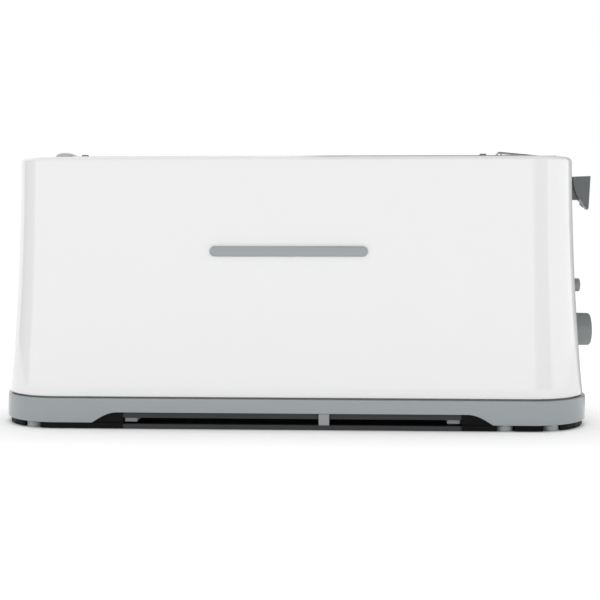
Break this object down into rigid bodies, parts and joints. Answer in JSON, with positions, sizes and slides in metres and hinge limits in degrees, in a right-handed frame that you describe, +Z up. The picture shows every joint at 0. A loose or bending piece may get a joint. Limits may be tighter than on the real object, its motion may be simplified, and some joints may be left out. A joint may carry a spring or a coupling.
{
  "type": "long-slot toaster",
  "caption": "Toaster with one long bread slot, a white flared housing on a grey base, and its lever, buttons and browning knob on the right-hand end.",
  "frame": {"origin": "centre of the bounding box, on the floor under the feet", "axes": "+X along the toaster towards the lever and knob, -Y out of the front face, +Z up"},
  "size_m": [0.4088, 0.124, 0.1882],
  "materials": {
    "white_plastic": "glossy",
    "grey_plastic": "satin",
    "dark_grey_plastic": "satin",
    "black_plastic": "matte",
    "grey_rubber": "matte",
    "chrome": "polished",
    "sheet_steel": "satin",
    "mica_board": "matte",
    "heating_wire": "satin",
    "copper_winding": "satin",
    "circuit_board": "satin"
  },
  "bodies": {
    "toaster_body": {"base_ring": "grey_plastic", "base_screw_front_left": "sheet_steel", "base_screw_front_right": "sheet_steel", "base_screw_rear_left": "sheet_steel", "base_screw_rear_right": "sheet_steel", "bottom_plate": "black_plastic", "browning_potentiometer": "black_plastic", "cancel_switch": "black_plastic", "control_board": "circuit_board", "cord_cleat_left": "grey_plastic", "cord_cleat_right": "grey_plastic", "cord_clip": "grey_plastic", "cord_gland": "black_plastic", "defrost_switch": "black_plastic", "foot_front_left": "grey_rubber", "foot_front_middle": "grey_rubber", "foot_front_right": "grey_rubber", "foot_rear_left": "grey_rubber", "foot_rear_middle": "grey_rubber", "foot_rear_right": "grey_rubber", "front_heat_shield": "sheet_steel", "front_heater_board": "mica_board", "front_heater_winding": "heating_wire", "front_trim_bar": "grey_plastic", "guide_rod": "sheet_steel", "housing_shell": "white_plastic", "left_end_plate": "sheet_steel", "lift_spring": "sheet_steel", "magnet_coil": "copper_winding", "magnet_core": "sheet_steel", "rack_left_block": "white_plastic", "rack_rest_front_left": "grey_plastic", "rack_rest_front_right": "grey_plastic", "rack_rest_rear_left": "grey_plastic", "rack_rest_rear_right": "grey_plastic", "rack_right_block": "white_plastic", "rear_heat_shield": "sheet_steel", "rear_heater_board": "mica_board", "rear_heater_winding": "heating_wire", "reheat_switch": "black_plastic", "right_end_plate": "sheet_steel", "slot_liner": "sheet_steel", "top_bracket": "sheet_steel"},
    "carriage": {"lever_carriage": "sheet_steel", "lever_knob": "dark_grey_plastic", "bread_lift": "sheet_steel", "latch_armature": "sheet_steel"},
    "front_guide": {"front_bread_guide": "sheet_steel"},
    "rear_guide": {"rear_bread_guide": "sheet_steel"},
    "browning_control": {"browning_knob": "grey_plastic", "browning_shaft": "sheet_steel"},
    "cancel": {"cancel_button": "dark_grey_plastic"},
    "defrost": {"defrost_button": "dark_grey_plastic"},
    "reheat": {"reheat_button": "dark_grey_plastic"},
    "tray": {"crumb_tray": "sheet_steel", "crumb_tray_grip": "grey_plastic"},
    "rack_front": {"rack_front_wire": "chrome"},
    "rack_rear": {"rack_rear_wire": "chrome"},
    "rack_finger": {"rack_finger_lever": "chrome"}
  },
  "joints": [
    {"name": "lever_slide", "type": "slide", "parent": "toaster_body", "child": "carriage", "axis": [0, 0, -1], "range_m": [0, 0.046], "stiffness_N_per_m": 120, "springref_m": -0.03, "deforming": ["lift_spring"]},
    {"name": "front_guide_slide", "type": "slide", "parent": "toaster_body", "child": "front_guide", "axis": [0, 1, 0], "range_m": [0, 0.0075]},
    {"name": "rear_guide_slide", "type": "slide", "parent": "toaster_body", "child": "rear_guide", "axis": [0, -1, 0], "range_m": [0, 0.0075]},
    {"name": "browning_turn", "type": "hinge", "parent": "toaster_body", "child": "browning_control", "pos_m": [0.1956, 0, 0.0625], "axis": [1, 0, 0], "range_deg": [-135, 135]},
    {"name": "cancel_press", "type": "slide", "parent": "toaster_body", "child": "cancel", "axis": [-1, 0, 0], "range_m": [0, 0.002], "stiffness_N_per_m": 400, "springref_m": -0.001},
    {"name": "defrost_press", "type": "slide", "parent": "toaster_body", "child": "defrost", "axis": [-1, 0, 0], "range_m": [0, 0.002], "stiffness_N_per_m": 400, "springref_m": -0.001},
    {"name": "reheat_press", "type": "slide", "parent": "toaster_body", "child": "reheat", "axis": [-1, 0, 0], "range_m": [0, 0.002], "stiffness_N_per_m": 400, "springref_m": -0.001},
    {"name": "tray_slide", "type": "slide", "parent": "toaster_body", "child": "tray", "axis": [0, 1, 0], "range_m": [0, 0.09]},
    {"name": "rack_finger_turn", "type": "hinge", "parent": "toaster_body", "child": "rack_finger", "pos_m": [0.1756, 0, 0.184], "axis": [0, 1, 0], "range_deg": [0, 60]},
    {"name": "rack_front_turn", "type": "hinge", "parent": "toaster_body", "child": "rack_front", "pos_m": [-0.0044, -0.004, 0.1831], "axis": [-1, 0, 0], "range_deg": [0, 60]},
    {"name": "rack_rear_turn", "type": "hinge", "parent": "toaster_body", "child": "rack_rear", "pos_m": [-0.0044, 0.004, 0.1831], "axis": [1, 0, 0], "range_deg": [0, 60]}
  ],
  "couplings": [
    {"joint": "front_guide_slide", "follows": "lever_slide", "ratio": 0.16304},
    {"joint": "rear_guide_slide", "follows": "lever_slide", "ratio": 0.16304},
    {"joint": "rack_front_turn", "follows": "rack_finger_turn", "ratio": 1},
    {"joint": "rack_rear_turn", "follows": "rack_finger_turn", "ratio": 1}
  ]
}
